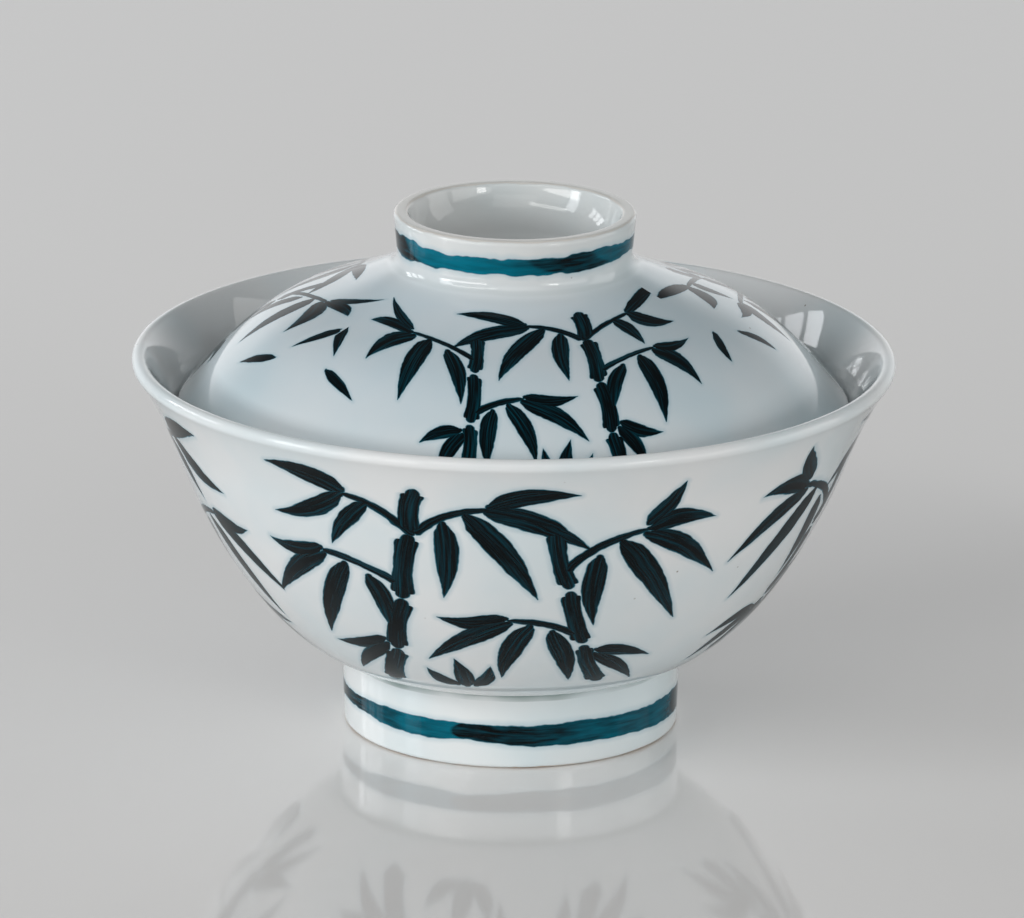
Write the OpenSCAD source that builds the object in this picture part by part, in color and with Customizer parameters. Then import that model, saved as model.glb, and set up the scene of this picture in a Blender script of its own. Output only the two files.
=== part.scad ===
// Donburi bowl of glazed porcelain with a lid that sits down inside its mouth.
// Each piece is one closed section turned about the Z axis, with the table at Z = 0.

/* [Bowl] */
// Diameter over the lip
bowl_d = 152; // [130:1:190]
// Height from the table to the top of the lip
bowl_h = 76.4; // [64:0.2:95]
// Thickness of the wall at the neck, just below the lip
wall_t = 3; // [2.2:0.1:4.5]
// Thickness of the wall low in the belly, where it turns into the floor
belly_t = 4.5; // [3:0.1:7]
// Thickness of the floor between the inside and the foot recess
floor_t = 5.2; // [3.5:0.1:8]
// Rise of the inside floor above the underside of the belly
floor_rise = 1.2; // [0:0.1:3]
// Width that the turned-out lip adds to each side of the neck
flare_w = 7.5; // [5:0.1:11]
// Height of the turned-out lip above the neck
flare_h = 16; // [12:0.5:20]
// Thickness of the rounded lip
lip_t = 3; // [2:0.1:4.2]

/* [Foot ring] */
// Diameter over the ring where it meets the belly
foot_d = 67.8; // [56:0.2:80]
// Height from the table to the underside of the belly
foot_h = 15.8; // [10:0.2:20]
// Thickness of the ring at the table
foot_t = 4.4; // [3.4:0.1:7]
// Width that the outside of the ring draws in towards the table
foot_taper_w = 0.4; // [0:0.1:2]
// Width that the recess inside the ring draws in towards its roof
recess_taper_w = 1.6; // [0:0.1:4]

/* [Lid] */
// Drop from the top of the bowl's lip to the lid's seat on the wall
seat_drop = 11.5; // [9:0.5:15]
// Rise from the seat to the foot of the knob ring
dome_rise = 30.2; // [22:0.2:40]
// Thickness of the lid's rounded edge
lid_edge_t = 3; // [2.2:0.1:4.5]
// Thickness of the lid half way up its dome
lid_t = 3.3; // [2.4:0.1:5]
// Thickness of the lid below the foot of the knob ring
lid_shoulder_t = 4.1; // [3:0.1:6]
// Thickness of the lid in the middle, inside the knob ring
lid_crown_t = 4.8; // [3:0.1:7]
// Clearance between the lid's edge and the bowl's wall
seat_gap = 0.3; // [0.2:0.05:0.6]

/* [Knob ring] */
// Diameter over the top of the ring
knob_d = 48.4; // [40:0.4:60]
// Height of the ring above the dome
knob_h = 10.3; // [7:0.1:14]
// Thickness of the ring at its top
knob_t = 3; // [2.4:0.1:5]
// Width that the outside of the ring draws in towards the dome
knob_waist_w = 1; // [0:0.1:3]

/* [Hidden] */
$fn = 180;

// Steps along a free curve and along a rounded edge
curve_steps = 20;
edge_steps = 6;

// Headings of the section, in degrees up from the radius
neck_lean = 70;
lip_lean = 50;
rim_lean = 50;
crown_lean = 27;
hollow_lean = 80;

// Lengths of the handles that bend each curve, as shares of its chord
belly_shares = [0.09, 0.64];
flare_shares = [0.32, 0.18];
floor_shares = [0.3, 0.5];
dome_shares = [0.62, 0.44];
vault_shares = [0.5, 0.3];
hollow_shares = [0.22, 0.5];

// How far along the outside the inside stops following it, as a share of the outside's curve
belly_turn_share = 0.3;
dome_turn_share = 0.55;

// Small radii of the edges and of the corners between the ring and the wall that carries it
foot_edge_r = 0.9;
foot_fillet_r = 0.9;
recess_fillet_r = 3;
knob_edge_r = 0.9;
knob_fillet_r = 4;

// A point at unit distance along a heading
function heading(angle) = [cos(angle), sin(angle)];

// The last point of an outline
function end_of(points) = points[len(points) - 1];

// The ends and handles of a smooth curve from p to q that leaves and arrives along the headings given
function bend(p, p_angle, q, q_angle, shares) =
    let (chord = norm(q - p))
    [p, p + shares[0] * chord * heading(p_angle), q - shares[1] * chord * heading(q_angle), q];

// The point and the heading at a share t of the way along a smooth curve
function point_at(b, t) =
    let (s = 1 - t)
    s * s * s * b[0] + 3 * s * s * t * b[1] + 3 * s * t * t * b[2] + t * t * t * b[3];
function heading_at(b, t) =
    let (s = 1 - t, way = s * s * (b[1] - b[0]) + 2 * s * t * (b[2] - b[1]) + t * t * (b[3] - b[2]))
    atan2(way[1], way[0]);

// Points along a smooth curve
function curve(b) = [for (i = [0 : curve_steps]) point_at(b, i / curve_steps)];

// Points that follow a smooth curve between two shares of it, on its left, at a thickness that changes evenly
function lining(b, from_t, to_t, from_thick, to_thick) =
    [for (i = [0 : curve_steps])
        let (k = i / curve_steps, t = from_t + (to_t - from_t) * k)
        point_at(b, t) + (from_thick + (to_thick - from_thick) * k) * heading(heading_at(b, t) + 90)];

// A round edge about a centre, from one heading to the other
function arc(centre, radius, from_angle, to_angle, steps) =
    [for (i = [0 : steps])
        centre + radius * heading(from_angle + (to_angle - from_angle) * i / steps)];

// The corner at b, on the way from a to c, rounded to a radius
function rounded(a, b, c, radius) =
    let (
        to_a = (a - b) / norm(a - b),
        to_c = (c - b) / norm(c - b),
        half_angle = acos(to_a * to_c) / 2,
        centre = b + radius / sin(half_angle) * (to_a + to_c) / norm(to_a + to_c),
        start = b + radius / tan(half_angle) * to_a - centre,
        end = b + radius / tan(half_angle) * to_c - centre,
        start_angle = atan2(start[1], start[0]),
        turn = atan2(start[0] * end[1] - start[1] * end[0], start * end)
    )
    arc(centre, radius, start_angle, start_angle + turn, edge_steps);

// Corners of the foot ring, and the middle of the floor above and below
floor_z = foot_h + floor_rise;
recess_z = floor_z - floor_t;
foot_top = [foot_d / 2, foot_h];
foot_out = [foot_d / 2 - foot_taper_w, 0];
foot_in = foot_out - [foot_t, 0];
recess_corner = foot_in + [-recess_taper_w, recess_z];
recess_centre = [0, recess_z];

// Ends of the wall: the neck where the lip turns out, and the roll of the lip
neck = [bowl_d / 2 - flare_w, bowl_h - flare_h];
lip_r = lip_t / 2;
lip_centre = [bowl_d / 2 - lip_r, bowl_h - lip_r];

// Outside of the bowl from the recess round the foot ring and up to the lip
foot_fillet = rounded(foot_out, foot_top, foot_top + [foot_fillet_r, 0], foot_fillet_r);
lip_roll = arc(lip_centre, lip_r, lip_lean - 90, lip_lean + 90, 2 * edge_steps);
belly = bend(end_of(foot_fillet), 0, neck, neck_lean, belly_shares);
flare = bend(neck, neck_lean, lip_roll[0], lip_lean, flare_shares);
bowl_outside = concat(
    [recess_centre],
    rounded(recess_centre, recess_corner, foot_in, recess_fillet_r),
    rounded(recess_corner, foot_in, foot_out, foot_edge_r),
    rounded(foot_in, foot_out, foot_top, foot_edge_r),
    foot_fillet,
    curve(belly),
    curve(flare)
);

// Inside of the bowl, which lines the outside from the lip down and turns into the floor
bowl_lining = concat(
    lining(flare, 1, 0, lip_t, wall_t),
    lining(belly, 1, belly_turn_share, wall_t, belly_t)
);
floor_heading = heading_at(belly, belly_turn_share) + 180;
bowl_inside = concat(
    bowl_lining,
    curve(bend(end_of(bowl_lining), floor_heading, [0, floor_z], 180, floor_shares))
);

// Seat of the lid: radius and lean of the bowl's inside at the seat's height
function inside_r(z) = lookup(z, [for (p = bowl_inside) [p[1], p[0]]]);
seat_z = bowl_h - seat_drop;
seat_lean = atan2(lid_edge_t, inside_r(seat_z + lid_edge_t / 2) - inside_r(seat_z - lid_edge_t / 2));
lid_edge_r = lid_edge_t / 2;
lid_edge_centre = [inside_r(seat_z), seat_z] + (lid_edge_r + seat_gap) * heading(seat_lean + 90);
lid_edge = arc(lid_edge_centre, lid_edge_r, -rim_lean - 90, 90 - rim_lean, 2 * edge_steps);

// Corners of the knob ring, and the middle of the lid above and below
knob_top_z = seat_z + dome_rise + knob_h;
knob_base = [knob_d / 2 - knob_waist_w, seat_z + dome_rise];
knob_out = [knob_d / 2, knob_top_z];
knob_in = knob_out - [knob_t, 0];
knob_side = knob_in - knob_t * heading(hollow_lean);
vault_z = knob_base[1] - lid_shoulder_t;
hollow_z = vault_z + lid_crown_t;

// Outside of the lid from its edge over the dome and the knob ring to the middle of the hollow
crown = knob_base + knob_fillet_r * heading(-crown_lean);
knob_fillet = rounded(crown, knob_base, knob_out, knob_fillet_r);
knob_edge = rounded(knob_out, knob_in, knob_side, knob_edge_r);
dome = bend(end_of(lid_edge), 180 - rim_lean, knob_fillet[0], 180 - crown_lean, dome_shares);
lid_outside = concat(
    curve(dome),
    knob_fillet,
    rounded(knob_base, knob_out, knob_in, knob_edge_r),
    knob_edge,
    curve(bend(end_of(knob_edge), hollow_lean + 180, [0, hollow_z], 180, hollow_shares))
);

// Underside of the lid, which vaults from its middle and then lines the dome out to the edge
lid_lining = lining(dome, dome_turn_share, 0, lid_t, lid_edge_t);
vault_heading = heading_at(dome, dome_turn_share) - 180;
lid_inside = concat(
    curve(bend([0, vault_z], 0, lid_lining[0], vault_heading, vault_shares)),
    lid_lining
);

// The bowl with its foot ring, turned-out lip and rounded inside
module bowl() {
    color("gainsboro")
        rotate_extrude()
            polygon(concat(bowl_outside, lip_roll, bowl_inside));
}

// The domed lid with the ring that serves as its knob, and as its foot when it lies upside down
module lid() {
    color("lightsteelblue")
        rotate_extrude()
            polygon(concat(lid_inside, lid_edge, lid_outside));
}

bowl();
lid();
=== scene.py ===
"""Glazed donburi bowl with its lid: walls, brushed painting, light and table, around the frame."""

import math
from typing import NamedTuple

import bmesh
import bpy
from bpy.props import FloatProperty, FloatVectorProperty, IntProperty, PointerProperty
from mathutils import Color, Matrix, Vector
from mathutils.geometry import interpolate_bezier


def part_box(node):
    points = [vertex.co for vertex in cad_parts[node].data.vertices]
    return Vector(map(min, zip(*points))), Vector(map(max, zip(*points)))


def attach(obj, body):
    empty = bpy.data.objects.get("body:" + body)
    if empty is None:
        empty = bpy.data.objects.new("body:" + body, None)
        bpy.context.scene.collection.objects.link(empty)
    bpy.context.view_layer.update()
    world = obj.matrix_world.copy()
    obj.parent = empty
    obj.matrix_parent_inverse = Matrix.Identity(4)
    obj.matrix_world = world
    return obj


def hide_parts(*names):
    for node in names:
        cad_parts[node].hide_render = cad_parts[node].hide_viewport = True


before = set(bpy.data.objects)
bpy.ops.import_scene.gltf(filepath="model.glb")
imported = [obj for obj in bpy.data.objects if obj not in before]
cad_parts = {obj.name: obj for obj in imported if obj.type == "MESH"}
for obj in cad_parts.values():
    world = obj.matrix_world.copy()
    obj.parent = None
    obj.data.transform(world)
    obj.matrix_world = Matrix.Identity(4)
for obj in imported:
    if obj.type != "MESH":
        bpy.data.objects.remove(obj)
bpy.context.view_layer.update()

bl_info = {
    "name": "Donburi bowl with lid",
    "version": (1, 0, 0),
    "blender": (4, 5, 0),
    "location": "3D View > Sidebar > Donburi",
    "description": "Makes a glazed donburi bowl and its lid with brushed bamboo, on a pale table",
    "category": "Add Mesh",
}

MM = 0.001
FULL_TURN = 2 * math.pi
SCREEN_WHITE = 255
MERGE_REACH = 0.001 * MM
FLAT_PLAY = 0.02 * MM
RUN = "wall_run"


def tint(red, green, blue):
    """A colour as a screen shows it, from 0 to 255, turned into linear light."""
    return tuple((Color((red, green, blue)) / SCREEN_WHITE).from_srgb_to_scene_linear())


def colour_setting(name, description, red, green, blue):
    """A colour that a user would change."""
    return FloatVectorProperty(
        name=name, description=description, default=tint(red, green, blue), subtype="COLOR", min=0, max=1
    )


def length_setting(name, description, default):
    """A length that a user would change, in metres."""
    return FloatProperty(
        name=name, description=description, default=default, unit="LENGTH", subtype="DISTANCE", precision=5
    )


def angle_setting(name, description, degrees):
    """An angle that a user would change."""
    return FloatProperty(
        name=name, description=description, default=math.radians(degrees), unit="ROTATION", subtype="ANGLE"
    )


def share_setting(name, description, default):
    """A share from 0 to 1 that a user would change."""
    return FloatProperty(
        name=name, description=description, default=default, subtype="FACTOR", min=0, max=1
    )


def count_setting(name, description, default, least, most):
    """A number of like things that a user would change."""
    return IntProperty(name=name, description=description, default=default, min=least, max=most)


class DonburiWalls(bpy.types.PropertyGroup):
    """How the two walls are turned, and how even they came off the wheel."""

    turn_steps: count_setting("Turn steps", "Facets in a full turn before smoothing", 128, 48, 200)
    waver: length_setting("Waver", "Unevenness of the hand-thrown walls", 0.16 * MM)
    waver_reach: length_setting("Waver reach", "Distance over which the walls swell and sink", 36 * MM)
    foot_height: length_setting("Foot height", "Height at which the foot ring meets the belly", 15.8 * MM)
    knob_drop: length_setting("Knob drop", "Drop from the top of the knob ring to the dome", 10.3 * MM)
    hollow_mouth: length_setting("Hollow mouth", "Drop from the ring's top to the hollow's mouth", 0.8 * MM)
    hollow_depth: length_setting("Hollow depth", "Depth of the knob's hollow below its mouth", 9.2 * MM)


class DonburiGlaze(bpy.types.PropertyGroup):
    """The glaze, with painted light and shade in the colours of the hollow, the dome and the lid's edge,
    and the rings that were wiped bare of it.
    """

    wall_colour: colour_setting("Wall glaze", "White glaze over the bowl's wall", 230, 233, 234)
    foot_colour: colour_setting("Foot glaze", "White glaze over the foot ring", 227, 232, 233)
    knob_colour: colour_setting("Knob glaze", "White glaze over the knob ring", 220, 223, 223)
    # Painted shade: the glaze in the knob's hollow is drawn greyer, for the shade that falls inside it.
    hollow_shade_colour: colour_setting("Hollow glaze", "Greyer glaze in the knob's hollow", 205, 208, 208)
    # Painted light and shade: the dome's glaze is drawn cooler and darker than the bowl's, for the cool
    # light that falls on it from above.
    dome_shaded_colour: colour_setting("Dome glaze", "Cooler glaze over the lid's dome", 204, 215, 221)
    # Painted light: the glaze is drawn lighter towards the lid's edge, beside the bowl's lip.
    edge_lit_colour: colour_setting("Edge glaze", "Whiter glaze towards the lid's edge", 215, 223, 226)
    cloud_colour: colour_setting("Cloud", "Tint of the cooler patches in the glaze", 240, 249, 252)
    # Partly painted shade: the darker line in the corner beside each ring stands for glaze that gathered
    # there and for the shade in that corner.
    pool_shade_colour: colour_setting("Pool", "Glaze that gathered in the corner beside a ring", 138, 156, 154)
    clay_colour: colour_setting("Clay", "Bare clay of the wiped rings", 224, 219, 210)
    scorch_colour: colour_setting("Scorch", "Brown line where the glaze ends", 172, 132, 90)
    speck_colour: colour_setting("Specks", "Iron specks in the body", 104, 92, 78)
    body_gloss: share_setting("Body gloss", "Strength of the reflections under the clear coat", 0.12)
    clear_coat: share_setting("Clear coat", "Clear glaze over the white, which the paint takes up", 0.52)
    glaze_roughness: share_setting("Glaze roughness", "Roughness of the fired glaze", 0.05)
    clay_roughness: share_setting("Clay roughness", "Roughness of the bare clay", 0.5)
    glaze_blend: length_setting("Glaze blend", "Reach to each side of a change of glaze", 5 * MM)
    # Width, drop and strength of the darker corner lines: gathered glaze with painted shade.
    pool_shade_width: length_setting("Pool width", "Width of the line of gathered glaze", 1.3 * MM)
    foot_pool_shade_drop: length_setting("Foot pool drop", "Drop of the gathered line below the belly", 0.65 * MM)
    foot_pool_shade: share_setting("Foot pool", "Strength of the gathered line above the foot", 1)
    knob_pool_shade: share_setting("Knob pool", "Strength of the gathered line below the knob ring", 0.12)
    wipe_margin: length_setting("Wipe margin", "Width wiped bare past the flat of each ring", 0.55 * MM)
    foot_bareness: share_setting("Foot bareness", "How bare the foot ring was wiped", 1)
    foot_scorch: share_setting("Foot scorch", "Strength of the brown line on the foot ring", 0.9)
    knob_bareness: share_setting("Knob bareness", "How bare the knob ring was wiped", 0.4)
    knob_scorch: share_setting("Knob scorch", "Strength of the brown line on the knob ring", 0.18)


class DonburiPaint(bpy.types.PropertyGroup):
    """The brushed painting under the glaze."""

    ink_colour: colour_setting("Ink", "Paint where the brush left it thick", 4, 11, 14)
    wash_colour: colour_setting("Wash", "Paint where it lies thin", 2, 110, 132)
    halo_colour: colour_setting("Halo", "Glaze tinted by paint that bled beside a stroke", 168, 194, 204)
    leaf_length: length_setting("Leaf length", "Length of the longest bamboo leaf", 27 * MM)
    leaf_width: length_setting("Leaf width", "Width of the longest bamboo leaf", 5.8 * MM)
    twig_width: length_setting("Twig width", "Width of a bamboo twig", 2.4 * MM)
    joint_gap: length_setting("Joint gap", "Bare gap between the lengths of a bamboo culm", 3 * MM)
    bowl_sprays: count_setting("Bowl sprays", "Sprays of bamboo round the bowl", 4, 1, 8)
    bowl_spray_run: length_setting("Bowl spray run", "Way from the lip down to a spray's middle", 36.3 * MM)
    bowl_spray_turn: angle_setting("Bowl spray turn", "Turn of the bowl's sprays to the left", 5)
    bowl_spray_size: share_setting("Bowl spray size", "Scale of the drawn spray on the bowl", 0.99)
    lip_margin: length_setting("Lip margin", "Unpainted width below the lip", 5 * MM)
    foot_margin: length_setting("Foot margin", "Unpainted width above the foot", 3 * MM)
    lid_sprays: count_setting("Lid sprays", "Sprays of bamboo round the lid", 3, 1, 8)
    lid_spray_turn: angle_setting("Lid spray turn", "Turn of the lid's sprays to the left", 114)
    lid_spray_size: share_setting("Lid spray size", "Scale of the drawn spray on the lid", 0.74)
    knob_margin: length_setting("Knob margin", "Unpainted width below the knob ring", 2 * MM)
    edge_margin: length_setting("Edge margin", "Unpainted width above the lid's edge", 3 * MM)
    foot_band_height: length_setting("Foot band height", "Height of the band above the table", 7 * MM)
    foot_band_width: length_setting("Foot band width", "Width of the band round the foot", 4.3 * MM)
    foot_band_rag: length_setting("Foot band rag", "Unevenness of the foot band's edges", 0.4 * MM)
    knob_band_drop: length_setting("Knob band drop", "Drop of the band from the ring's top", 5.3 * MM)
    knob_band_width: length_setting("Knob band width", "Width of the band round the knob ring", 3.6 * MM)
    knob_band_rag: length_setting("Knob band rag", "Unevenness of the knob band's edges", 0.85 * MM)
    knob_band_slant: angle_setting("Knob band slant", "Turn over which a patch in the knob band slants", 8)
    band_end_bow: angle_setting("Band end bow", "Turn by which the ends of a patch in a band bow", 4)


class DonburiStage(bpy.types.PropertyGroup):
    """The table, the windows, the room and the camera."""

    table_colour: colour_setting("Table", "Pale lacquer of the table", 230, 229, 228)
    table_roughness: share_setting("Table roughness", "Roughness of the polished table", 0.07)
    room_colour: colour_setting("Room", "Even light of the room", 114, 115, 115)
    far_wall_colour: colour_setting("Far wall", "Paler light of the wall across the table", 250, 251, 252)
    window_colour: colour_setting("Window", "Daylight in the windows", 250, 252, 255)
    wall_colour: colour_setting("Walls", "Light that the walls of the room throw back", 255, 253, 251)
    camera_elevation: angle_setting("Camera elevation", "Height of the view above the table", 16.89)
    camera_roll: angle_setting("Camera roll", "Turn of the camera about its view", 0.55)
    camera_distance: length_setting("Camera distance", "Distance from the camera to the object", 1.6989)
    camera_lens: FloatProperty(
        name="Camera lens", description="Focal length in millimetres", default=299.06, min=1
    )
    view_height: length_setting("View height", "Height of the middle of the view", 53.88 * MM)
    view_side: length_setting("View side", "Sideways place of the middle of the view", -0.15 * MM)


class DonburiSettings(bpy.types.PropertyGroup):
    """All the settings of the donburi."""

    walls: PointerProperty(type=DonburiWalls)
    glaze: PointerProperty(type=DonburiGlaze)
    paint: PointerProperty(type=DonburiPaint)
    stage: PointerProperty(type=DonburiStage)


# Node trees

SOCKET_KINDS = {"value": "NodeSocketFloat", "vector": "NodeSocketVector", "colour": "NodeSocketColor"}
MIX_SOCKETS = {"FLOAT": (2, 3, 0), "VECTOR": (4, 5, 1), "RGBA": (6, 7, 2)}
NODE_STEP = 190


class Unevenness(NamedTuple):
    """Noise about zero: waves per metre, octaves, reach to each side, and the part of its range in use."""

    waves: float
    octaves: float
    reach: float
    part: float = 1


class NodeSheet:
    """A node tree that grows by one node at a time, from left to right."""

    def __init__(self, tree):
        self.tree = tree
        tree.nodes.clear()

    def add(self, kind, inputs=None, **settings):
        """A node with its settings, and with its inputs joined to sockets or set to values."""
        node = self.tree.nodes.new(kind)
        node.location.x = NODE_STEP * len(self.tree.nodes)
        for name, value in settings.items():
            setattr(node, name, value)
        for socket, value in (inputs or {}).items():
            if isinstance(value, bpy.types.NodeSocket):
                self.tree.links.new(value, node.inputs[socket])
            else:
                node.inputs[socket].default_value = value
        return node

    def math(self, operation, *values):
        """The result of a sum on values."""
        return self.add("ShaderNodeMath", dict(enumerate(values)), operation=operation).outputs[0]

    def vector(self, operation, *values):
        """The vector that a sum on vectors gives."""
        return self.add("ShaderNodeVectorMath", dict(enumerate(values)), operation=operation).outputs[0]

    def length(self, vector):
        """The length of a vector."""
        return self.add("ShaderNodeVectorMath", {0: vector}, operation="LENGTH").outputs["Value"]

    def scaled(self, vector, factor):
        """A vector times a number."""
        node = self.add("ShaderNodeVectorMath", {0: vector, "Scale": factor}, operation="SCALE")
        return node.outputs["Vector"]

    def parts(self, vector):
        """The three parts of a vector."""
        return self.add("ShaderNodeSeparateXYZ", {0: vector}).outputs[:]

    def joined(self, x, y, z):
        """A vector of three parts."""
        return self.add("ShaderNodeCombineXYZ", {0: x, 1: y, 2: z}).outputs[0]

    def ease(self, value, start, end, low=0.0, high=1.0):
        """A value that goes smoothly from low at start to high at end."""
        inputs = {"Value": value, 1: start, 2: end, 3: low, 4: high}
        return self.add("ShaderNodeMapRange", inputs, interpolation_type="SMOOTHSTEP").outputs[0]

    def ramp(self, value, start, end, low=0.0, high=1.0):
        """A value that goes evenly from low at start to high at end."""
        inputs = {"Value": value, 1: start, 2: end, 3: low, 4: high}
        return self.add("ShaderNodeMapRange", inputs).outputs[0]

    def mix(self, factor, first, second, kind="RGBA"):
        """The first of two colours, vectors or values at factor 0, and the second at 1."""
        first_socket, second_socket, result = MIX_SOCKETS[kind]
        inputs = {0: factor, first_socket: first, second_socket: second}
        return self.add("ShaderNodeMix", inputs, data_type=kind).outputs[result]

    def noise(self, place, waves, octaves):
        """Cloudy noise about one half, as a value and as a colour."""
        inputs = {"Vector": place, "Scale": waves, "Detail": octaves}
        return self.add("ShaderNodeTexNoise", inputs).outputs[:]

    def sway(self, place, uneven):
        """A value that wavers about zero over a surface."""
        low = (1 - uneven.part) / 2
        grain, _ = self.noise(place, uneven.waves, uneven.octaves)
        return self.ramp(grain, low, 1 - low, -uneven.reach, uneven.reach)

    def profile(self, value, points):
        """A smooth curve through points, read at a value from 0 to 1."""
        node = self.add("ShaderNodeFloatCurve", {"Value": value})
        curve = node.mapping.curves[0]
        for place, height in points[1:-1]:
            curve.points.new(place, height)
        curve.points[0].location = points[0]
        curve.points[-1].location = points[-1]
        node.mapping.update()
        return node.outputs[0]

    def use(self, group, inputs):
        """The outputs of a node group, found by its name and given its inputs."""
        return self.add("ShaderNodeGroup", inputs, node_tree=bpy.data.node_groups[group]).outputs


def new_group(name, inputs, outputs):
    """A new shader node group with named sockets: its sheet, and what it is given."""
    tree = bpy.data.node_groups.new(name, "ShaderNodeTree")
    sheet = NodeSheet(tree)
    for socket, kind in inputs.items():
        tree.interface.new_socket(socket, in_out="INPUT", socket_type=SOCKET_KINDS[kind])
    for socket, kind in outputs.items():
        tree.interface.new_socket(socket, in_out="OUTPUT", socket_type=SOCKET_KINDS[kind])
    return sheet, sheet.add("NodeGroupInput").outputs


def hand_on(sheet, **results):
    """Closes a group by joining its results to its outputs."""
    sheet.add("NodeGroupOutput", results)


def solid(colour):
    """A colour setting as a colour socket takes it."""
    return (*colour, 1)


# Brushed bamboo

# Half width of each kind of stroke along its length, as a share of the widest
STROKE_PROFILES = {
    "Culm stroke": ((0, 0.62), (0.05, 1), (0.16, 0.94), (0.5, 0.86), (0.84, 0.94), (0.95, 1), (1, 0.62)),
    "Twig stroke": ((0, 1), (0.12, 0.9), (0.5, 0.8), (0.9, 0.66), (1, 0.4)),
    "Leaf stroke": (
        (0, 0.36), (0.05, 0.62), (0.16, 0.92), (0.3, 1), (0.5, 0.92), (0.74, 0.58), (0.92, 0.22), (1, 0.04),
    ),
}

# Bow of a culm in millimetres, the peak of x times (1 - x), and a depth far outside every stroke
CULM_BOW = 0.4
PARABOLA_PEAK = 0.25
FAR_OFF = -99


class Stroke(NamedTuple):
    """One brush stroke, in millimetres and degrees on a flat sheet, with y towards the rim above it."""

    kind: str
    x: float
    y: float
    heading: float
    length: float
    width: float
    bow: float


# Roots and headings of the leaves, with their lengths as shares of the longest leaf, and their bows
LEAVES = (
    (-34.4, 8.6, 182, 0.48, 1.4),
    (-33.8, 7.2, 228, 0.74, -1.6),
    (-29, 5.6, 257, 0.84, -1.3),
    (-23.4, 3.2, 286, 0.62, 1.2),
    (-28.8, 23.4, 206, 0.66, 1.4),
    (-28.4, 24.8, 168, 0.68, -1.2),
    (-23.4, 22, 236, 0.52, -0.8),
    (2, 23.6, 10, 0.66, 1.5),
    (1.6, 22.2, -26, 0.84, 1.8),
    (-2.6, 21, -58, 0.92, 1.2),
    (-7.4, 18.6, -92, 0.7, 0.8),
    (33.6, 16.8, 2, 0.54, 1.6),
    (33, 15.4, -40, 0.74, 2.0),
    (28.4, 14, -66, 0.93, 1.0),
    (23.4, 10.6, -96, 0.7, -1.0),
    (33.4, 18.4, 50, 0.46, -0.8),
    (4.2, -5.4, 182, 0.52, 1.3),
    (4.8, -6.8, 218, 0.78, -1.4),
    (8.8, -8, 250, 0.7, -1.3),
    (13.2, -10, 278, 0.64, 0.8),
    (-21.2, -14.8, 200, 0.46, 1.0),
    (-20.6, -16.4, 240, 0.52, -1.0),
    (22, -16.2, -22, 0.44, 1.0),
    (21.6, -17.6, -60, 0.52, 1.0),
    (-6.6, -30.4, 130, 0.34, 0.8),
    (-4.8, -30.8, 100, 0.44, -0.6),
    (-3, -30.4, 70, 0.36, -0.8),
    (57, 12, -76, 0.44, 0.8),
    (62, -5, 214, 0.42, -0.6),
    (-59, 6, 256, 0.4, 0.6),
)

# Roots, headings, lengths and bows of the twigs
TWIGS = (
    (-15.8, 1.4, 159, 19, -1.4),
    (-14, 16.2, 152, 16, -1.2),
    (-12.4, 16.6, 24, 15.5, 1.4),
    (15.4, 6.4, 30, 20.5, 1.9),
    (17.6, -10.6, 160, 13.5, -1.0),
)

# Feet, headings, widths and lengths of the culms
CULMS = (
    (-20, -30, 83, 5.0, (11, 13, 14.5, 9)),
    (21.2, -28, 98, 4.2, (12.5, 13.5, 13)),
)


def bamboo_strokes(paint):
    """The strokes of one spray of bamboo, from its culms to its leaves."""
    gap = paint.joint_gap / MM
    for x, y, heading, width, lengths in CULMS:
        way = Vector((math.cos(math.radians(heading)), math.sin(math.radians(heading))))
        foot = Vector((x, y))
        for length in lengths:
            yield Stroke("Culm stroke", *foot, heading, length, width, CULM_BOW)
            foot += (length + gap) * way
    for x, y, heading, length, bow in TWIGS:
        yield Stroke("Twig stroke", x, y, heading, length, paint.twig_width / MM, bow)
    for x, y, heading, share, bow in LEAVES:
        width = paint.leaf_width / MM * math.sqrt(share)
        yield Stroke("Leaf stroke", x, y, heading, share * paint.leaf_length / MM, width, bow)


def stroke_group(name, profile):
    """One brush stroke over those before it: how deep a place lies inside it, and where along it."""
    sheet, given = new_group(
        name,
        {
            "Place": "vector", "Root": "vector", "Turn": "vector", "Size": "vector", "Bow": "value",
            "Depth": "value", "Way": "vector",
        },
        {"Depth": "value", "Way": "vector"},
    )
    inputs = {0: given["Place"], 1: given["Root"], 2: given["Turn"], 3: given["Size"]}
    laid = sheet.add("ShaderNodeMapping", inputs, vector_type="TEXTURE").outputs[0]
    along, across, _ = sheet.parts(laid)
    held = sheet.add("ShaderNodeClamp", {0: along}).outputs[0]
    rise = sheet.math("MULTIPLY", held, sheet.math("SUBTRACT", 1.0, held))
    across = sheet.math("SUBTRACT", across, sheet.math("MULTIPLY", rise, given["Bow"]))
    past = sheet.math("SUBTRACT", along, held)
    off = sheet.length(sheet.vector("MULTIPLY", sheet.joined(past, across, 0.0), given["Size"]))
    half_width = sheet.math("MULTIPLY", sheet.profile(held, profile), sheet.parts(given["Size"])[1])
    depth = sheet.math("SUBTRACT", half_width, off)
    nearer = sheet.math("GREATER_THAN", depth, given["Depth"])
    way = sheet.vector("MULTIPLY", sheet.joined(along, across, 1.0), given["Size"])
    hand_on(
        sheet,
        Depth=sheet.math("MAXIMUM", depth, given["Depth"]),
        Way=sheet.mix(nearer, given["Way"], way, "VECTOR"),
    )


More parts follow.
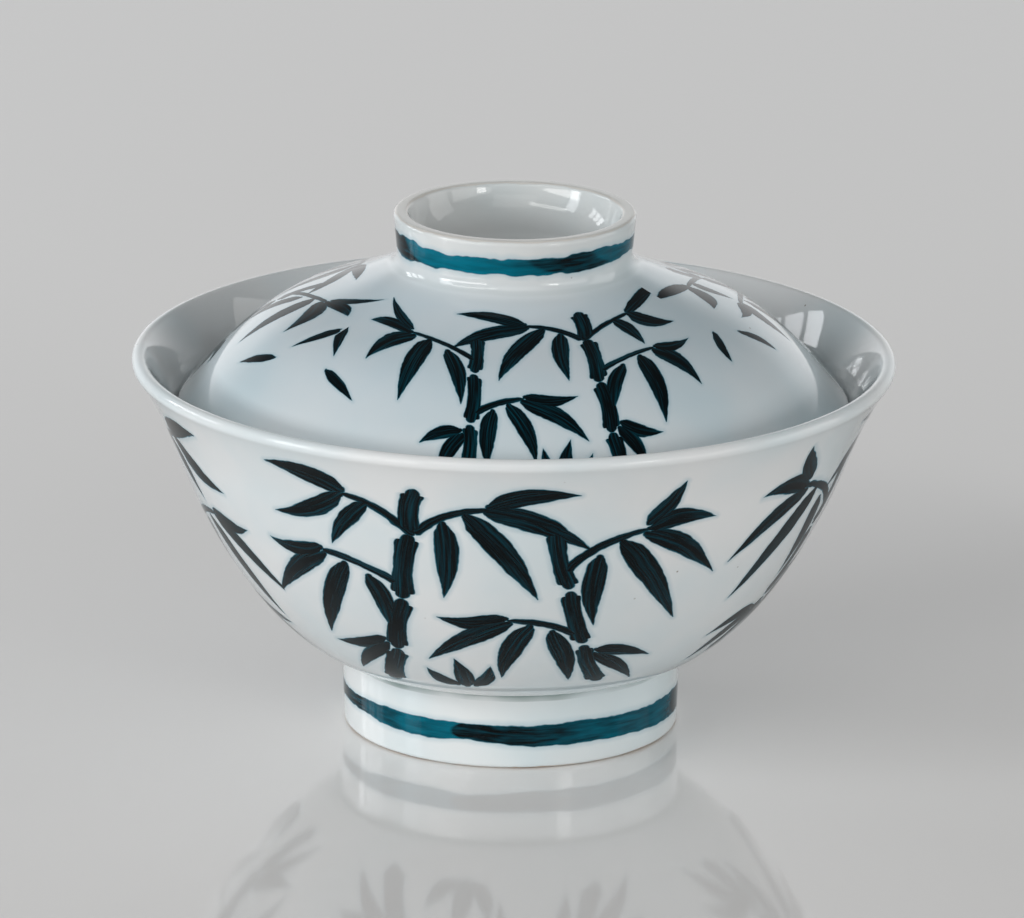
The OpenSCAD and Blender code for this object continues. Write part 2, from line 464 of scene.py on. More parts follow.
def spray_group(paint):
    """A whole spray of bamboo on a flat sheet in millimetres."""
    for name, profile in STROKE_PROFILES.items():
        stroke_group(name, profile)
    sheet, given = new_group("Bamboo spray", {"Place": "vector"}, {"Depth": "value", "Way": "vector"})
    laid = {"Depth": FAR_OFF, "Way": (0, 0, 0)}
    for number, stroke in enumerate(bamboo_strokes(paint), 1):
        half_width = stroke.width / 2
        inputs = {
            "Place": given["Place"],
            "Root": (stroke.x, stroke.y, 0),
            "Turn": (0, 0, math.radians(stroke.heading)),
            "Size": (stroke.length, half_width, number),
            "Bow": stroke.bow / (PARABOLA_PEAK * half_width),
            "Depth": laid["Depth"],
            "Way": laid["Way"],
        }
        laid = sheet.use(stroke.kind, inputs)
    hand_on(sheet, Depth=laid["Depth"], Way=laid["Way"])


# Places on the wall

# Shift of each spray up or down the wall, and the drift of the hand in millimetres
SPRAY_SHIFT = 2 * MM
HAND_WAVES = 55
HAND_OCTAVES = 2
HAND_DRIFT = 1.8
NOISE_MIDDLE = (0.5, 0.5, 0.5)

# Sway of a band, pressure of its brush in millimetres, and waver of its edges as a share of its rag
BAND_SWAY = Unevenness(45, 1, 1.6)
BAND_PRESS = Unevenness(32, 0, 1, 0.6)
BAND_WAVER = Unevenness(240, 1, 1)


def turn_of(sheet, place):
    """The angle of a place about the axis, from the front and growing to the right."""
    x, y, _ = sheet.parts(place)
    return sheet.math("ARCTAN2", x, sheet.math("MULTIPLY", y, -1.0))


def wall_sheet_group():
    """Unrolls a wall into flat sheets in millimetres, one for each spray, every other one turned over."""
    sheet, given = new_group(
        "Wall sheet",
        {
            "Place": "vector", "Run": "value", "Sprays": "value", "Middle": "value", "Turn": "value",
            "Size": "value",
        },
        {"Place": "vector"},
    )
    turn = sheet.math("ADD", turn_of(sheet, given["Place"]), given["Turn"])
    spacing = sheet.math("DIVIDE", FULL_TURN, given["Sprays"])
    number = sheet.math("ROUND", sheet.math("DIVIDE", turn, spacing))
    turn = sheet.math("SUBTRACT", turn, sheet.math("MULTIPLY", number, spacing))
    number = sheet.math("FLOORED_MODULO", number, given["Sprays"])
    radius = sheet.length(sheet.vector("MULTIPLY", given["Place"], (1, 1, 0)))
    side = sheet.math("MULTIPLY_ADD", sheet.math("FLOORED_MODULO", number, 2.0), -2.0, 1.0)
    x = sheet.math("MULTIPLY", sheet.math("MULTIPLY", turn, radius), side)
    draw = sheet.add("ShaderNodeTexWhiteNoise", {"W": number}, noise_dimensions="1D").outputs["Value"]
    shift = sheet.ramp(draw, 0, 1, -SPRAY_SHIFT, SPRAY_SHIFT)
    y = sheet.math("ADD", sheet.math("SUBTRACT", given["Middle"], given["Run"]), shift)
    flat = sheet.scaled(sheet.joined(x, y, 0.0), sheet.math("DIVIDE", 1 / MM, given["Size"]))
    _, hand = sheet.noise(given["Place"], HAND_WAVES, HAND_OCTAVES)
    drift = sheet.scaled(sheet.vector("SUBTRACT", hand, NOISE_MIDDLE), HAND_DRIFT)
    hand_on(sheet, Place=sheet.vector("ADD", flat, drift))


def band_group():
    """A band brushed round a ring: depth inside its edges, place along it and place round the ring."""
    sheet, given = new_group(
        "Brushed band",
        {
            "Place": "vector", "Run": "value", "Middle": "value", "Width": "value", "Rag": "value",
            "Bow": "value", "Slant": "value",
        },
        {"Depth": "value", "Way": "vector", "Round": "value"},
    )
    place = given["Place"]
    below = sheet.math("DIVIDE", sheet.math("SUBTRACT", given["Run"], given["Middle"]), MM)
    across = sheet.math("SUBTRACT", below, sheet.sway(place, BAND_SWAY))
    half_width = sheet.math("MULTIPLY_ADD", given["Width"], 0.5 / MM, sheet.sway(place, BAND_PRESS))
    depth = sheet.math("SUBTRACT", half_width, sheet.math("ABSOLUTE", across))
    rag = sheet.math("MULTIPLY", sheet.sway(place, BAND_WAVER), sheet.math("DIVIDE", given["Rag"], MM))
    turn = turn_of(sheet, place)
    radius = sheet.length(sheet.vector("MULTIPLY", place, (1, 1, 0)))
    along = sheet.math("DIVIDE", sheet.math("MULTIPLY", turn, radius), MM)
    share = sheet.math("DIVIDE", across, half_width)
    bowed = sheet.math("MULTIPLY", share, sheet.math("MULTIPLY_ADD", share, given["Bow"], given["Slant"]))
    hand_on(
        sheet,
        Depth=sheet.math("ADD", depth, rag),
        Way=sheet.joined(along, across, 0.0),
        Round=sheet.math("DEGREES", sheet.math("SUBTRACT", turn, bowed)),
    )


# Finishes

class Brushing(NamedTuple):
    """Grain of a brush: waves per millimetre each way, octaves, the range in use and what it gives."""

    along: float
    across: float
    octaves: float
    grains: tuple
    results: tuple


RAGGED_EDGE = Brushing(0.5, 0.8, 1, (0, 1), (-0.22, 0.22))
STREAKS = Brushing(0.06, 1.7, 4, (0.44, 0.74), (0, 0.22))
SCRATCHES = Brushing(0.16, 5, 1, (0.6, 0.8), (0, 0.1))
MOTTLE = Brushing(0.13, 0.9, 2, (0.3, 0.7), (-0.24, 0.24))

# Step through the grain from one stroke to the next
STROKE_DRAW = 3.1

# Depths inside a stroke, in millimetres, over which its paint covers and grows thick, and its halo grows
COVER_DEPTHS = (-0.14, 0.12)
LOAD_DEPTHS = (-0.1, 0.3)
HALO_DEPTHS = (-1.4, 0.1)
HALO_STRENGTH = 0.55


def brushed(sheet, way, brushing):
    """The grain of a brush at a place along a stroke."""
    waves = (brushing.along, brushing.across, STROKE_DRAW)
    return sheet.noise(sheet.vector("MULTIPLY", way, waves), 1, brushing.octaves)[0]


def paint_group():
    """Paint over a glaze: thick in a stroke, thin at its edges and along its streaks, with a halo."""
    sheet, given = new_group(
        "Brushed paint",
        {
            "Glaze": "colour", "Ink": "colour", "Wash": "colour", "Halo": "colour",
            "Depth": "value", "Way": "vector",
        },
        {"Colour": "colour", "Cover": "value"},
    )
    way = given["Way"]
    ragged = sheet.ramp(brushed(sheet, way, RAGGED_EDGE), *RAGGED_EDGE.grains, *RAGGED_EDGE.results)
    depth = sheet.math("ADD", given["Depth"], ragged)
    streaks = sheet.ease(brushed(sheet, way, STREAKS), *STREAKS.grains, *STREAKS.results)
    scratches = sheet.ease(brushed(sheet, way, SCRATCHES), *SCRATCHES.grains, *SCRATCHES.results)
    load = sheet.math("SUBTRACT", sheet.ease(depth, *LOAD_DEPTHS), sheet.math("ADD", streaks, scratches))
    paint = sheet.mix(load, given["Wash"], given["Ink"])
    halo = sheet.ease(given["Depth"], *HALO_DEPTHS, 0, HALO_STRENGTH)
    bled = sheet.mix(halo, given["Glaze"], given["Halo"])
    cover = sheet.ease(depth, *COVER_DEPTHS)
    hand_on(sheet, Colour=sheet.mix(cover, bled, paint), Cover=cover)


# Waves or cells per metre of the clouds, specks, swell and orange peel, and the ranges of them that show
CLOUD_WAVES = 28
CLOUD_OCTAVES = 3
CLOUD_RANGE = (0.35, 0.7)
SPECK_CELLS = 150
SPECK_RADII = (0.045, 0.02)
SPECK_RARITY = (0.3, 0.9)
SPECK_STRENGTH = 0.75
SWELL_WAVES = 110
PEEL_WAVES = 700
PEEL_SHARE = 0.12
FINE_OCTAVES = 1


def glaze_group():
    """White glaze with cool clouds and iron specks, and the height of its faint orange peel."""
    sheet, given = new_group(
        "Porcelain glaze",
        {"Place": "vector", "Glaze": "colour", "Cloud": "colour", "Speck": "colour"},
        {"Colour": "colour", "Height": "value"},
    )
    place = given["Place"]
    cooler = sheet.vector("MULTIPLY", given["Glaze"], given["Cloud"])
    cloudy = sheet.ease(sheet.noise(place, CLOUD_WAVES, CLOUD_OCTAVES)[0], *CLOUD_RANGE)
    clouds = sheet.mix(cloudy, given["Glaze"], cooler)
    cells = sheet.add("ShaderNodeTexVoronoi", {"Vector": place, "Scale": SPECK_CELLS}).outputs
    near = sheet.ease(cells["Distance"], *SPECK_RADII)
    rare = sheet.ease(sheet.parts(cells["Color"])[0], *SPECK_RARITY, 0, SPECK_STRENGTH)
    specked = sheet.mix(sheet.math("MULTIPLY", near, rare), clouds, given["Speck"])
    swell, _ = sheet.noise(place, SWELL_WAVES, FINE_OCTAVES)
    peel, _ = sheet.noise(place, PEEL_WAVES, FINE_OCTAVES)
    hand_on(sheet, Colour=specked, Height=sheet.math("MULTIPLY_ADD", peel, PEEL_SHARE, swell))


# Rag of a wiped ring's edge, widths of the edge and its brown line in millimetres, and that line's patches
RING_RAG = Unevenness(240, 3, 0.5)
WIPE_EDGE = (0.12, -0.12)
SCORCH_WIDTHS = (0.36, 0.04)
SCORCH_WAVES = 60
SCORCH_OCTAVES = 2
SCORCH_RANGE = (0.38, 0.62)
SCORCH_LEAST = 0.15


def wiped_ring_group():
    """A ring wiped bare of glaze: where the clay shows, and the brown line at its edges."""
    sheet, given = new_group(
        "Wiped ring",
        {
            "Place": "vector", "Run": "value", "Middle": "value", "Reach": "value", "Bareness": "value",
            "Scorch": "value",
        },
        {"Bare": "value", "Line": "value"},
    )
    off = sheet.math("ABSOLUTE", sheet.math("SUBTRACT", given["Run"], given["Middle"]))
    edge = sheet.math("DIVIDE", sheet.math("SUBTRACT", off, given["Reach"]), MM)
    edge = sheet.math("ADD", edge, sheet.sway(given["Place"], RING_RAG))
    patches, _ = sheet.noise(given["Place"], SCORCH_WAVES, SCORCH_OCTAVES)
    fade = sheet.ease(patches, *SCORCH_RANGE, SCORCH_LEAST, given["Scorch"])
    line = sheet.ease(sheet.math("ABSOLUTE", edge), *SCORCH_WIDTHS)
    hand_on(
        sheet,
        Bare=sheet.ease(edge, *WIPE_EDGE, 0, given["Bareness"]),
        Line=sheet.math("MULTIPLY", line, fade),
    )


# Sway of the darker line beside a ring, partly gathered glaze and partly painted shade, and where it fades,
# as shares of its width from its middle
POOL_SHADE_SWAY = Unevenness(70, 2, 0.6 * MM)
POOL_SHADE_FADE = (0.7, 0.15)


def pool_shade_group():
    """A wavering darker line in a corner of the wall: glaze that gathered there, with painted shade."""
    sheet, given = new_group(
        "Gathered glaze and shade",
        {"Place": "vector", "Run": "value", "Middle": "value", "Width": "value", "Strength": "value"},
        {"Cover": "value"},
    )
    middle = sheet.math("ADD", given["Middle"], sheet.sway(given["Place"], POOL_SHADE_SWAY))
    off = sheet.math("ABSOLUTE", sheet.math("SUBTRACT", given["Run"], middle))
    share = sheet.math("DIVIDE", off, given["Width"])
    hand_on(sheet, Cover=sheet.ease(share, *POOL_SHADE_FADE, 0, given["Strength"]))


def make_groups(paint):
    """Makes the node groups that both pieces share, unless the first piece made them."""
    if "Porcelain glaze" in bpy.data.node_groups:
        return
    glaze_group()
    paint_group()
    spray_group(paint)
    wall_sheet_group()
    band_group()
    wiped_ring_group()
    pool_shade_group()


class PorcelainMarks(NamedTuple):
    """The glaze along a wall, what the groups of its marks are given, and the painted part of its run."""

    glaze_stops: tuple
    band: dict
    band_tones: tuple
    pool: dict
    wiped: dict
    sprays: dict
    painted: tuple


# How the glaze bends light, and how much its swell and orange peel show
GLAZE_IOR = 1.5
PEEL_STRENGTH = 0.25
PEEL_HEIGHT = 0.06 * MM

# How dark each band is at angles from the front, in degrees and growing to the right
FOOT_TONES = (
    (-180, 0.5), (-120, 0.6), (-84, 1), (-66, 0.96), (-57, 0.5), (-44, 0.62), (-40, 0.25), (-30, 0.4),
    (-21, 0.3), (-20, 1), (5, 0.97), (14, 0.82), (24, 0.6), (60, 0.5), (71, 0.6), (73, 0.95), (92, 0.9),
    (120, 0.5), (180, 0.5),
)
KNOB_TONES = (
    (-180, 0.4), (-110, 0.5), (-78, 0.95), (-62, 0.92), (-58, 0.4), (-48, 0.12), (-24, 0.06), (-2, 0.3),
    (9, 0.5), (12, 0.85), (43, 0.92), (46, 0.45), (72, 0.4), (90, 0.6), (140, 0.2), (180, 0.4),
)


def colour_ramp(sheet, value, stops):
    """A colour that changes along a value, through stops from the first to the last."""
    first = stops[0][0]
    last = stops[-1][0]
    node = sheet.add("ShaderNodeValToRGB", {0: sheet.ramp(value, first, last)})
    elements = node.color_ramp.elements
    for place, colour in stops[1:-1]:
        elements.new((place - first) / (last - first)).color = colour
    elements[0].color = stops[0][1]
    elements[-1].color = stops[-1][1]
    return node.outputs[0]


class Coats(NamedTuple):
    """What the coats of one piece are made with."""

    sheet: NodeSheet
    settings: DonburiSettings
    marks: PorcelainMarks
    where: dict


def white_coat(coats):
    """The white glaze, with painted light and shade in its colours along the lid, and its gathered line,
    partly painted shade: its colour, and the height of its orange peel.
    """
    sheet, settings, marks, where = coats
    glaze = settings.glaze
    stops = [(run, solid(colour)) for run, colour in marks.glaze_stops]
    body = sheet.use(
        "Porcelain glaze",
        {
            "Place": where["Place"],
            "Glaze": colour_ramp(sheet, where["Run"], stops),
            "Cloud": solid(glaze.cloud_colour),
            "Speck": solid(glaze.speck_colour),
        },
    )
    # The darker corner line: gathered glaze with painted shade
    pool = sheet.use("Gathered glaze and shade", {**where, **marks.pool})
    return sheet.mix(pool["Cover"], body["Colour"], solid(glaze.pool_shade_colour)), body["Height"]


def brushed_coat(coats, glaze, ink, strokes):
    """Strokes of paint over a glaze: the colour of both, and where the paint covers."""
    paint = coats.settings.paint
    return coats.sheet.use(
        "Brushed paint",
        {
            "Glaze": glaze,
            "Ink": ink,
            "Wash": solid(paint.wash_colour),
            "Halo": solid(paint.halo_colour),
            **strokes,
        },
    )


def band_coat(coats, glaze):
    """The band brushed round a ring, over the glaze."""
    sheet, settings, marks, where = coats
    paint = settings.paint
    band = sheet.use("Brushed band", {**where, **marks.band})
    stops = [(angle, (tone, tone, tone, 1)) for angle, tone in marks.band_tones]
    mottle = sheet.ramp(brushed(sheet, band["Way"], MOTTLE), *MOTTLE.grains, *MOTTLE.results)
    tone = sheet.math("ADD", colour_ramp(sheet, band["Round"], stops), mottle)
    ink = sheet.mix(tone, solid(paint.wash_colour), solid(paint.ink_colour))
    return brushed_coat(coats, glaze, ink, {"Depth": band["Depth"], "Way": band["Way"]})


def spray_coat(coats, glaze):
    """The sprays of bamboo between the margins of a wall, over the glaze."""
    sheet, settings, marks, where = coats
    flat = sheet.use("Wall sheet", {**where, **marks.sprays})
    spray = sheet.use("Bamboo spray", {"Place": flat["Place"]})
    first, last = marks.painted
    past_first = sheet.math("GREATER_THAN", where["Run"], first)
    before_last = sheet.math("LESS_THAN", where["Run"], last)
    depth = sheet.mix(sheet.math("MULTIPLY", past_first, before_last), FAR_OFF, spray["Depth"], "FLOAT")
    ink = solid(settings.paint.ink_colour)
    return brushed_coat(coats, glaze, ink, {"Depth": depth, "Way": spray["Way"]})


def porcelain_material(name, settings, marks):
    """Painted and glazed porcelain, bare where its ring was wiped."""
    make_groups(settings.paint)
    glaze = settings.glaze
    material = bpy.data.materials.new(name)
    material.use_nodes = True
    sheet = NodeSheet(material.node_tree)
    place = sheet.add("ShaderNodeTexCoord").outputs["Object"]
    run = sheet.add("ShaderNodeAttribute", attribute_name=RUN).outputs["Fac"]
    coats = Coats(sheet, settings, marks, {"Place": place, "Run": run})

    white, height = white_coat(coats)
    banded = band_coat(coats, white)
    painted = spray_coat(coats, banded["Colour"])
    wiped = sheet.use("Wiped ring", {**coats.where, **marks.wiped})
    colour = sheet.mix(wiped["Bare"], painted["Colour"], solid(glaze.clay_colour))
    covered = sheet.math("MAXIMUM", sheet.math("MAXIMUM", banded["Cover"], painted["Cover"]), wiped["Bare"])
    relief = {"Strength": PEEL_STRENGTH, "Distance": PEEL_HEIGHT, "Height": height}
    shader = sheet.add(
        "ShaderNodeBsdfPrincipled",
        {
            "Base Color": sheet.mix(wiped["Line"], colour, solid(glaze.scorch_colour)),
            "Roughness": sheet.ramp(wiped["Bare"], 0, 1, glaze.glaze_roughness, glaze.clay_roughness),
            "Normal": sheet.add("ShaderNodeBump", relief).outputs[0],
            "IOR": GLAZE_IOR,
            "Specular IOR Level": glaze.body_gloss,
            "Coat Weight": sheet.ramp(covered, 0, 1, glaze.clear_coat, 0),
            "Coat Roughness": glaze.glaze_roughness,
        },
    )
    sheet.add("ShaderNodeOutputMaterial", {"Surface": shader.outputs[0]})
    return material


# Walls

# Lean of the hollow's side, and the reach of the side and of the floor in the curve between them
CUP_LEAN = math.radians(13)
CUP_SIDE = 8 * MM
CUP_FLOOR = 16 * MM

# Halvings of each facet of a wall
SMOOTH_LEVELS = 1


class Wall(NamedTuple):
    """A wall turned from the frame's own section, with the runs and places along that section."""

    form: bmesh.types.BMesh
    section: tuple

    def run_at(self, height):
        """The run at which the outside passes a height."""
        outside = [(z, run) for run, z in self.section if run >= 0]
        for (upper, upper_run), (lower, lower_run) in zip(outside[1:], outside):
            if lower <= height <= upper:
                share = (height - lower) / max(upper - lower, MERGE_REACH)
                return lower_run + share * (upper_run - lower_run)
        raise ValueError(f"the wall doesn't pass {height} m")

    def flat_at(self, height):
        """The middle and the half width, along the section, of the flat at a height."""
        runs = [run for run, z in self.section if abs(z - height) < FLAT_PLAY]
        return (max(runs) + min(runs)) / 2, (max(runs) - min(runs)) / 2


def wire_from(vertex):
    """The vertices along a wire, from one end of it to the other."""
    found = [vertex]
    edge = vertex.link_edges[0]
    while edge:
        vertex = edge.other_vert(vertex)
        found.append(vertex)
        edge = next((other for other in vertex.link_edges if other != edge), None)
    return found


def deepen_hollow(wire, mouth, depth):
    """Reshapes the end of a wire below a height into a cup with a steep side and a flat middle."""
    cup = wire[max(number for number, vertex in enumerate(wire) if vertex.co.z >= mouth):]
    rim = cup[0].co.copy()
    middle = Vector((0, 0, rim.z - depth))
    side = rim - CUP_SIDE * Vector((math.sin(CUP_LEAN), 0, math.cos(CUP_LEAN)))
    floor = middle + Vector((CUP_FLOOR, 0, 0))
    for vertex, point in zip(cup, interpolate_bezier(rim, side, floor, middle, len(cup))):
        vertex.co = point


def cut_wire(form):
    """Cuts a form down to half its section: a wire from the lower of its ends on the axis to the other."""
    for normal, both_sides in (((0, 1, 0), True), ((1, 0, 0), False)):
        bmesh.ops.bisect_plane(
            form,
            geom=form.verts[:] + form.edges[:] + form.faces[:],
            dist=MERGE_REACH,
            plane_co=(0, 0, 0),
            plane_no=normal,
            clear_inner=True,
            clear_outer=both_sides,
        )
    ends = [vertex for vertex in form.verts if len(vertex.link_edges) == 1]
    return wire_from(min(ends, key=lambda vertex: vertex.co.z))


def measure_run(wire, run):
    """Measures a wire back from its highest point, so that the run grows down the outside from zero."""
    for before, vertex in zip(wire, wire[1:]):
        vertex[run] = before[run] + (vertex.co - before.co).length
    top = max(wire, key=lambda vertex: vertex.co.z)[run]
    for vertex in wire:
        vertex[run] = top - vertex[run]


def turned_wall(node_name, steps, hollow=None):
    """Turns the section of a node into a wall, with a deeper hollow if its mouth and depth are given."""
    form = bmesh.new()
    form.from_mesh(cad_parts[node_name].data)
    run = form.verts.layers.float.new(RUN)
    bmesh.ops.remove_doubles(form, verts=form.verts[:], dist=MERGE_REACH)
    wire = cut_wire(form)
    measure_run(wire, run)
    section = tuple((vertex[run], vertex.co.z) for vertex in wire)
    if hollow:
        deepen_hollow(wire, *hollow)
    bmesh.ops.spin(
        form,
        geom=form.verts[:] + form.edges[:],
        cent=(0, 0, 0),
        axis=(0, 0, 1),
        angle=FULL_TURN,
        steps=steps,
        use_merge=True,
    )
    bmesh.ops.remove_doubles(form, verts=form.verts[:], dist=MERGE_REACH)
    bmesh.ops.recalc_face_normals(form, faces=form.faces[:])
    return Wall(form, section)


def finished_piece(name, wall, walls, material):
    """A turned wall as an object, a little uneven and smooth all over."""
    mesh = bpy.data.meshes.new(name)
    wall.form.to_mesh(mesh)
    wall.form.free()
    mesh.shade_smooth()
    mesh.materials.append(material)
    piece = bpy.data.objects.new(name, mesh)
    bpy.context.scene.collection.objects.link(piece)
    clouds = bpy.data.textures.new(name + "_waver", "CLOUDS")
    clouds.noise_scale = walls.waver_reach
    uneven = piece.modifiers.new("Hand-thrown waver", "DISPLACE")
    uneven.texture = clouds
    uneven.texture_coords = "LOCAL"
    uneven.strength = walls.waver
    smooth = piece.modifiers.new("Smooth wall", "SUBSURF")
    smooth.levels = SMOOTH_LEVELS
    smooth.render_levels = SMOOTH_LEVELS
    return piece


class DONBURI_OT_make_bowl(bpy.types.Operator):
    """Turn the bowl's wall and foot ring, paint it and glaze it"""

    bl_idname = "donburi.make_bowl"
    bl_label = "Make the bowl"

    def execute(self, context):
        settings = context.scene.donburi
        walls = settings.walls
        glaze = settings.glaze
        paint = settings.paint
        wall = turned_wall("bowl", walls.turn_steps)
        low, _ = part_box("bowl")
        wiped_run, wiped_half = wall.flat_at(low.z)
        foot_run = wall.run_at(walls.foot_height)
        marks = PorcelainMarks(
            glaze_stops=(
                (foot_run - glaze.glaze_blend, glaze.wall_colour),
                (foot_run + glaze.glaze_blend, glaze.foot_colour),
            ),
            band={
                "Middle": wall.run_at(paint.foot_band_height),
                "Width": paint.foot_band_width,
                "Rag": paint.foot_band_rag,
                "Bow": paint.band_end_bow,
            },
            band_tones=FOOT_TONES,
            # The darker line above the foot: gathered glaze with painted shade
            pool={
                "Middle": foot_run + glaze.foot_pool_shade_drop,
                "Width": glaze.pool_shade_width,
                "Strength": glaze.foot_pool_shade,
            },
            wiped={
                "Middle": wiped_run,
                "Reach": wiped_half + glaze.wipe_margin,
                "Bareness": glaze.foot_bareness,
                "Scorch": glaze.foot_scorch,
            },
            sprays={
                "Sprays": paint.bowl_sprays,
                "Middle": paint.bowl_spray_run,
                "Turn": paint.bowl_spray_turn,
                "Size": paint.bowl_spray_size,
            },
            painted=(paint.lip_margin, foot_run - paint.foot_margin),
        )
        material = porcelain_material("bowl_porcelain", settings, marks)
        piece = finished_piece("glazed_bowl", wall, walls, material)
        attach(piece, "bowl")
        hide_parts("bowl")
        return {"FINISHED"}


class DONBURI_OT_make_lid(bpy.types.Operator):
    """Turn the lid's dome and knob ring, paint it and glaze it"""

    bl_idname = "donburi.make_lid"
    bl_label = "Make the lid"

    def execute(self, context):
        settings = context.scene.donburi
        walls = settings.walls
        glaze = settings.glaze
        paint = settings.paint
        low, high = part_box("lid")
        wall = turned_wall("lid", walls.turn_steps, (high.z - walls.hollow_mouth, walls.hollow_depth))
        wiped_run, wiped_half = wall.flat_at(high.z)
        edge_run = wall.flat_at(low.z)[0]
        knob_run = wall.run_at(high.z - walls.knob_drop)
        dome_run = (knob_run + edge_run) / 2
        marks = PorcelainMarks(
            glaze_stops=(
                # Painted shade inside the knob's hollow
                (-glaze.glaze_blend, glaze.hollow_shade_colour),
                (-wiped_half, glaze.knob_colour),
                (knob_run - glaze.glaze_blend, glaze.knob_colour),
                # The dome's glaze, drawn cooler and darker as painted light and shade
                (knob_run + glaze.glaze_blend, glaze.dome_shaded_colour),
                (dome_run, glaze.dome_shaded_colour),
                # Painted light towards the lid's edge
                (edge_run - glaze.glaze_blend, glaze.edge_lit_colour),
            ),
            band={
                "Middle": wall.run_at(high.z - paint.knob_band_drop),
                "Width": paint.knob_band_width,
                "Rag": paint.knob_band_rag,
                "Bow": paint.band_end_bow,
                "Slant": paint.knob_band_slant,
            },
            band_tones=KNOB_TONES,
            # The faint darker line below the knob ring: painted shade in that corner, with a little
            # gathered glaze
            pool={"Middle": knob_run, "Width": glaze.pool_shade_width, "Strength": glaze.knob_pool_shade},
            wiped={
                "Middle": wiped_run,
                "Reach": wiped_half + glaze.wipe_margin,
                "Bareness": glaze.knob_bareness,
                "Scorch": glaze.knob_scorch,
            },
            sprays={
                "Sprays": paint.lid_sprays,
                "Middle": dome_run,
                "Turn": paint.lid_spray_turn,
                "Size": paint.lid_spray_size,
            },
            painted=(knob_run + paint.knob_margin, edge_run - paint.edge_margin),
        )
        material = porcelain_material("lid_porcelain", settings, marks)
        piece = finished_piece("glazed_lid", wall, walls, material)
        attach(piece, "lid")
        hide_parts("lid")
        return {"FINISHED"}


# Stage

# Half the table's width in metres, its cells each way, and the drop that keeps it clear of the foot
TABLE_REACH = 4
TABLE_CELLS = 2
TABLE_DROP = 0.05 * MM
LACQUER_IOR = 1.5

# How far the camera sees, in metres, and the point that the lamps face
CAMERA_REACH = 20
AIM = Vector((0, 0, 50 * MM))

# Where the wall across the table fades into the room, as parts of a unit direction, away and up
FAR_WALL_SPREAD = (0.6, 0.92)
FAR_WALL_RISE = (0.5, 0.22)
FAR_WALL_GLOW = 1.15


class Pane(NamedTuple):
    """A pane of light: degrees from the front to the right and up, spread, distance and brightness."""

    turn: float
    rise: float
    width: float
    height: float
    distance: float
    brightness: float


WINDOW_PANES = (
    Pane(-121, 19, 7, 12, 1.4, 5.6),
    Pane(-111.5, 19, 7, 12, 1.4, 5.6),
    Pane(-102, 19, 7, 12, 1.4, 5.6),
    Pane(-70, 20, 12, 26, 1.4, 6.5),
)
ROOM_PANES = (
    Pane(-50, 11, 46, 9, 1.95, 7.4),
    Pane(-42, 35, 40, 7, 1.95, 4.8),
    Pane(0, 32, 46, 22, 1.95, 1.15),
    Pane(50, 10, 46, 17, 1.95, 2.3),
    Pane(38, 13, 10, 7, 1.95, 10.0),
    Pane(95, 15, 30, 30, 1.6, 1.75),
)


def lay_table(stage):
    """A polished pale table top, wide enough to fill every view."""
    form = bmesh.new()
    bmesh.ops.create_grid(
        form,
        x_segments=TABLE_CELLS,
        y_segments=TABLE_CELLS,
        size=TABLE_REACH,
        matrix=Matrix.Translation((0, 0, -TABLE_DROP)),
    )
    mesh = bpy.data.meshes.new("table")
    form.to_mesh(mesh)
    form.free()
    material = bpy.data.materials.new("table_lacquer")
    material.use_nodes = True
    sheet = NodeSheet(material.node_tree)
    shader = sheet.add(
        "ShaderNodeBsdfPrincipled",
        {"Base Color": solid(stage.table_colour), "Roughness": stage.table_roughness, "IOR": LACQUER_IOR},
    )
    sheet.add("ShaderNodeOutputMaterial", {"Surface": shader.outputs[0]})
    mesh.materials.append(material)
    table = bpy.data.objects.new("table", mesh)
    bpy.context.scene.collection.objects.link(table)


def hang_pane(name, pane, colour):
    """A flat lamp that faces the object, as bright to look at as the pane says."""
    turn = math.radians(pane.turn)
    rise = math.radians(pane.rise)
    way = Vector((math.sin(turn) * math.cos(rise), -math.cos(turn) * math.cos(rise), math.sin(rise)))
    light = bpy.data.lights.new(name, "AREA")
    light.shape = "RECTANGLE"
    light.size = 2 * pane.distance * math.tan(math.radians(pane.width) / 2)
    light.size_y = 2 * pane.distance * math.tan(math.radians(pane.height) / 2)
    light.energy = pane.brightness * math.pi * light.size * light.size_y
    light.color = colour
    lamp = bpy.data.objects.new(name, light)
    lamp.location = AIM + pane.distance * way
    lamp.rotation_mode = "QUATERNION"
    lamp.rotation_quaternion = way.to_track_quat("Z", "Y")
    lamp.visible_camera = False
    bpy.context.scene.collection.objects.link(lamp)


def fill_room(stage):
    """The even light of the room, paler towards the wall across the table."""
    world = bpy.data.worlds.new("room")
    world.use_nodes = True
    sheet = NodeSheet(world.node_tree)
    _, away, up = sheet.parts(sheet.add("ShaderNodeTexCoord").outputs["Generated"])
    far = sheet.math("MULTIPLY", sheet.ease(away, *FAR_WALL_SPREAD), sheet.ease(up, *FAR_WALL_RISE))
    light = sheet.mix(far, solid(stage.room_colour), solid(stage.far_wall_colour))
    strength = sheet.ramp(far, 0.0, 1.0, 1.0, FAR_WALL_GLOW)
    background = sheet.add("ShaderNodeBackground", {"Color": light, "Strength": strength})
    sheet.add("ShaderNodeOutputWorld", {"Surface": background.outputs[0]})
    bpy.context.scene.world = world


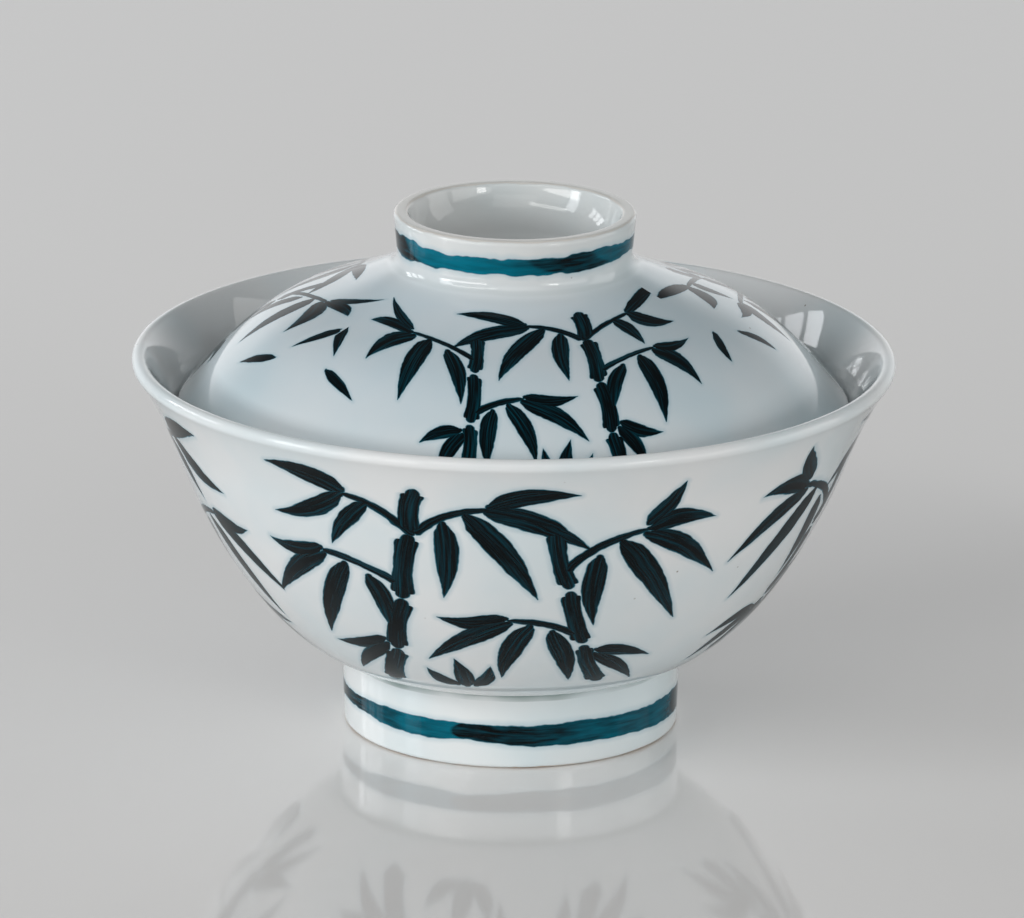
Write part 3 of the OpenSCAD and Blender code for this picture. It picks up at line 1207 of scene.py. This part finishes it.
def aim_camera(stage):
    """A long lens at the height of a person seated at the table."""
    data = bpy.data.cameras.new("camera")
    data.sensor_fit = "HORIZONTAL"
    data.lens = stage.camera_lens
    data.clip_end = CAMERA_REACH
    camera = bpy.data.objects.new("camera", data)
    aim = Matrix.Translation((stage.view_side, 0, stage.view_height))
    tilt = Matrix.Rotation(math.pi / 2 - stage.camera_elevation, 4, "X")
    roll = Matrix.Rotation(stage.camera_roll, 4, "Z")
    camera.matrix_world = aim @ tilt @ roll @ Matrix.Translation((0, 0, stage.camera_distance))
    bpy.context.scene.collection.objects.link(camera)
    bpy.context.scene.camera = camera


class DONBURI_OT_set_stage(bpy.types.Operator):
    """Lay the table, light it through windows and aim the camera"""

    bl_idname = "donburi.set_stage"
    bl_label = "Set the stage"

    def execute(self, context):
        stage = context.scene.donburi.stage
        lay_table(stage)
        for number, pane in enumerate(WINDOW_PANES, 1):
            hang_pane(f"window_pane_{number}", pane, stage.window_colour)
        for number, pane in enumerate(ROOM_PANES, 1):
            hang_pane(f"room_pane_{number}", pane, stage.wall_colour)
        fill_room(stage)
        aim_camera(stage)
        context.scene.view_settings.view_transform = "Standard"
        return {"FINISHED"}


class DONBURI_PT_sidebar(bpy.types.Panel):
    """The settings and the makers of the donburi"""

    bl_idname = "DONBURI_PT_sidebar"
    bl_label = "Donburi"
    bl_space_type = "VIEW_3D"
    bl_region_type = "UI"
    bl_category = "Donburi"

    def draw(self, context):
        settings = context.scene.donburi
        for maker in MAKERS:
            self.layout.operator(maker.bl_idname)
        for group in (settings.walls, settings.glaze, settings.paint, settings.stage):
            box = self.layout.box()
            for name in group.bl_rna.properties.keys():
                if name not in ("rna_type", "name"):
                    box.prop(group, name)


MAKERS = (DONBURI_OT_set_stage, DONBURI_OT_make_bowl, DONBURI_OT_make_lid)
CLASSES = (
    DonburiWalls, DonburiGlaze, DonburiPaint, DonburiStage, DonburiSettings, *MAKERS, DONBURI_PT_sidebar,
)


def register():
    """Adds the classes, and the settings to the scene."""
    for cls in CLASSES:
        bpy.utils.register_class(cls)
    bpy.types.Scene.donburi = PointerProperty(type=DonburiSettings)


def unregister():
    """Takes the settings and the classes away again."""
    del bpy.types.Scene.donburi
    for cls in reversed(CLASSES):
        bpy.utils.unregister_class(cls)


def main():
    """Makes the stage, the bowl and the lid."""
    register()
    bpy.ops.donburi.set_stage()
    bpy.ops.donburi.make_bowl()
    bpy.ops.donburi.make_lid()


if __name__ == "__main__":
    main()
